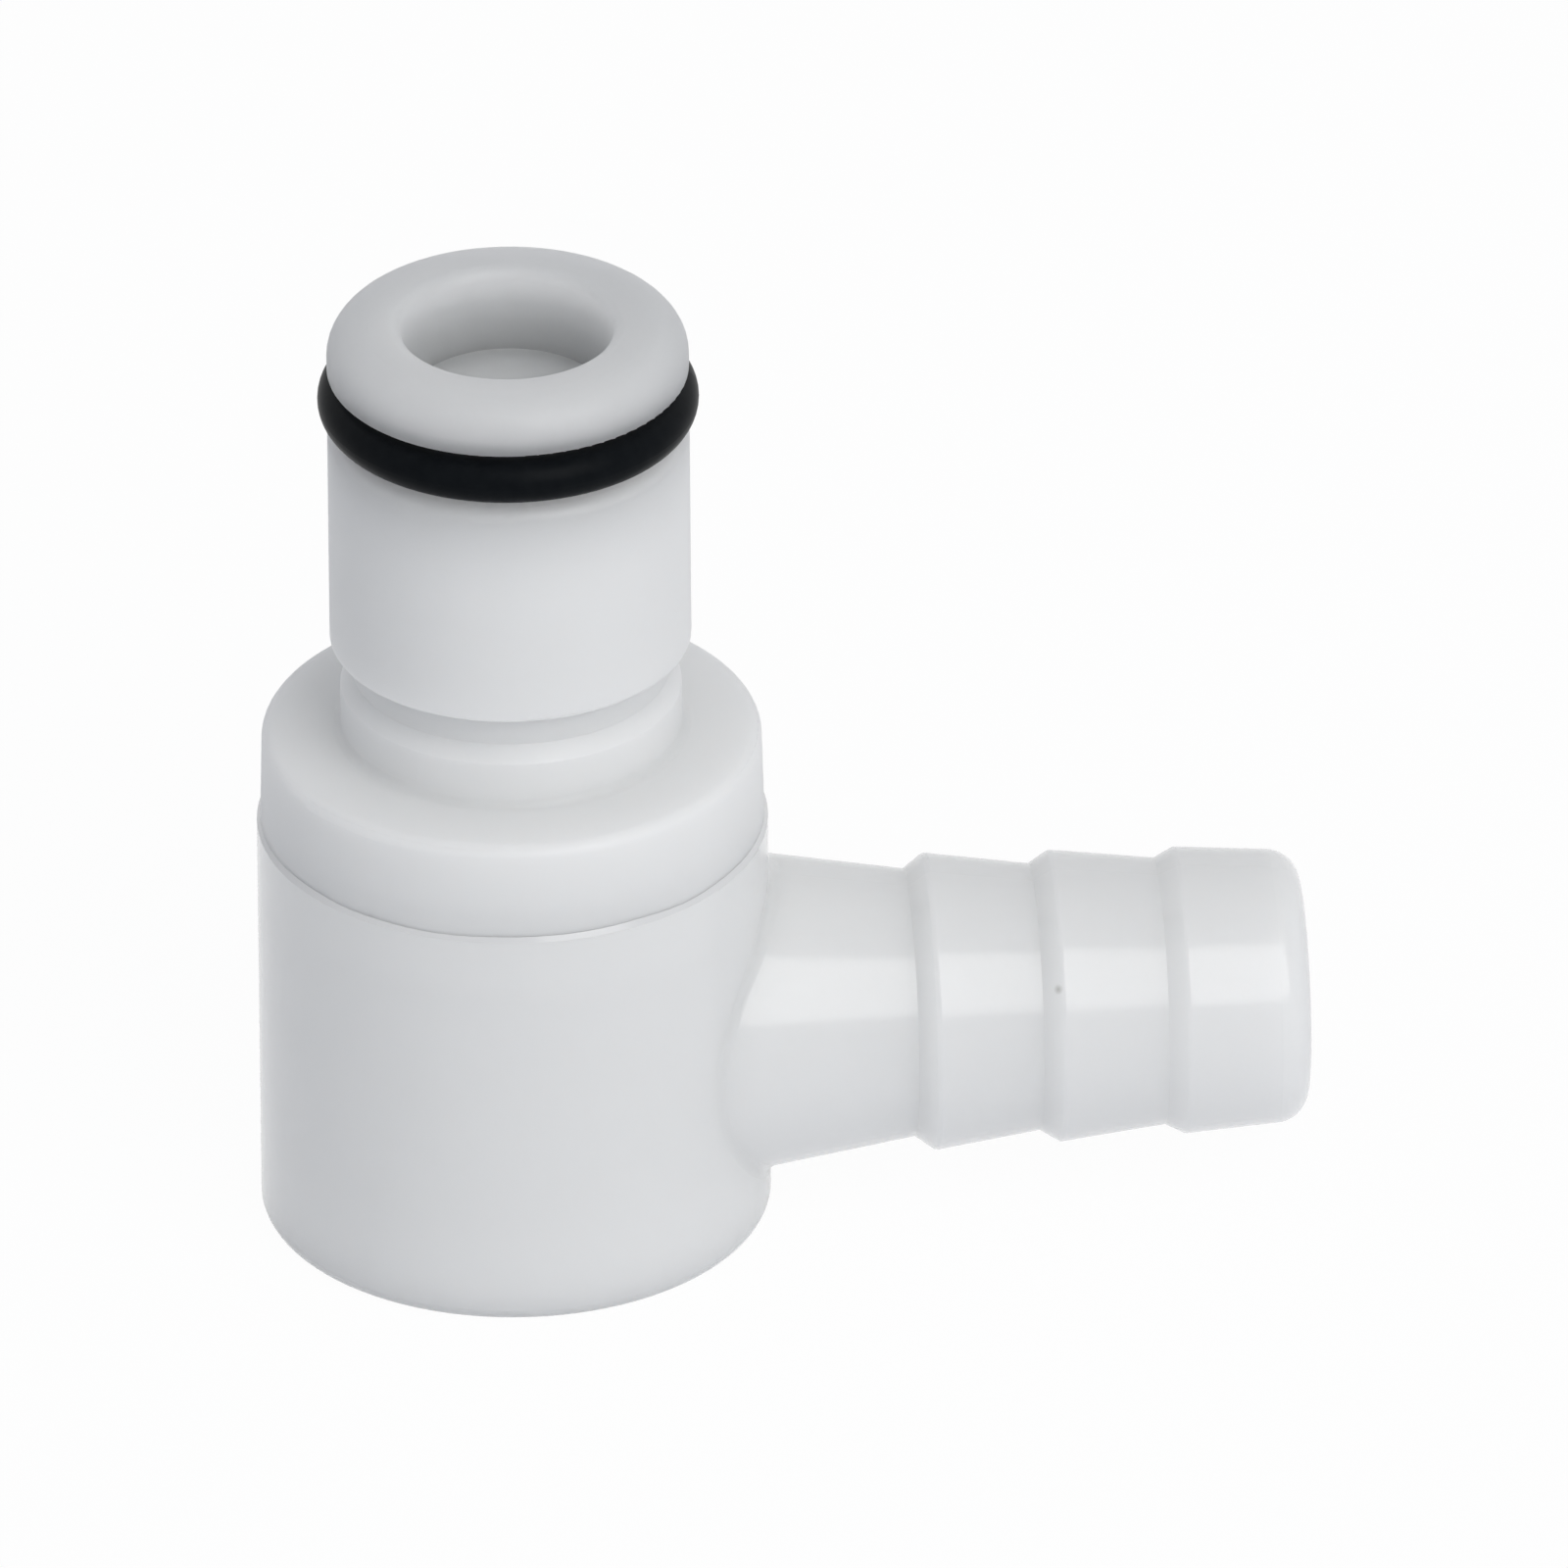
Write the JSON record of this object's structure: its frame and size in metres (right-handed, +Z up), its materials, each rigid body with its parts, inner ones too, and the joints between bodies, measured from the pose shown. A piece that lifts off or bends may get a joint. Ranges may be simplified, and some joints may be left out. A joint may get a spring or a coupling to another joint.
{
  "type": "plastic quick connect coupling elbow plug with shut-off valve",
  "caption": "White plastic elbow plug for a quick connect hose coupling, with a black seal ring, a sprung shut-off valve and a ridged hose barb.",
  "frame": {"origin": "middle of the flat underside of the lower shell, on the axis of the plug", "axes": "+Z up along the plug towards its tip, +X along the hose barb towards its open end"},
  "size_m": [0.0391, 0.019, 0.0375],
  "materials": {
    "housing_plastic": "satin",
    "valve_plastic": "satin",
    "seal_rubber": "matte",
    "spring_steel": "satin"
  },
  "bodies": {
    "housing": {"elbow_housing": "housing_plastic", "nose_piece": "housing_plastic", "nose_o_ring": "seal_rubber", "valve_spring": "spring_steel"},
    "valve": {"valve_poppet": "valve_plastic", "poppet_seal": "seal_rubber"}
  },
  "joints": [
    {"name": "valve_slide", "type": "slide", "parent": "housing", "child": "valve", "axis": [0, 0, -1], "range_m": [0, 0.004], "stiffness_N_per_m": 400, "springref_m": -0.005, "deforming": ["valve_spring"]}
  ]
}
